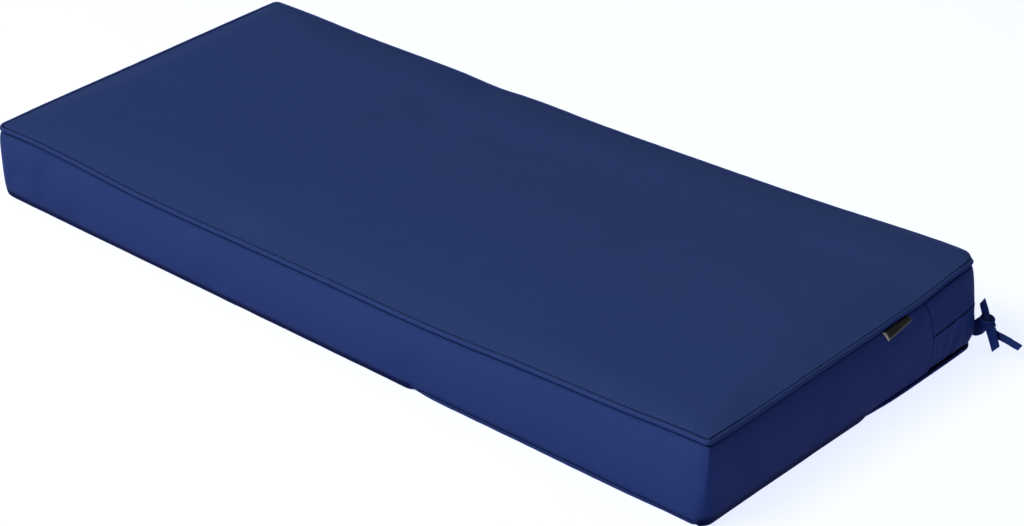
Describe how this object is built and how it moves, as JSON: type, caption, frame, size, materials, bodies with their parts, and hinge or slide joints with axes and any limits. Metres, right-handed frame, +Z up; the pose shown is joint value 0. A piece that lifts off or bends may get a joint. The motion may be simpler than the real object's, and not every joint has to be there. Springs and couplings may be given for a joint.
{
  "type": "bench cushion",
  "caption": "Navy box bench cushion with piped seams, a flapped slit round the back, a bare black tab and knotted ties at one rear corner.",
  "frame": {"origin": "middle of the flat underside, where the cushion rests", "axes": "+X along the cushion towards the end with the label and the ties, +Y across it towards the back with the slit, +Z up through the top panel"},
  "size_m": [1.1166, 0.4796, 0.1072],
  "materials": {
    "cover_cloth": "plain woven polyester canvas, navy, soft broad sheen",
    "piping_cloth": "the same canvas cut on the bias over a cord",
    "tie_cloth": "the same canvas folded into straps 9 to 16 mm wide",
    "label_tape": "black woven tape, bare"
  },
  "bodies": {
    "root": {"cushion": "cover_cloth", "piping_top": "piping_cloth", "piping_bottom": "piping_cloth", "zip_boxing": "cover_cloth", "zip_flap": "cover_cloth", "label_tab": "label_tape", "tie_band": "tie_cloth", "tie_knot": "tie_cloth", "tie_end_up": "tie_cloth", "tie_end_down": "tie_cloth", "tie_end_side": "tie_cloth"}
  },
  "joints": []
}
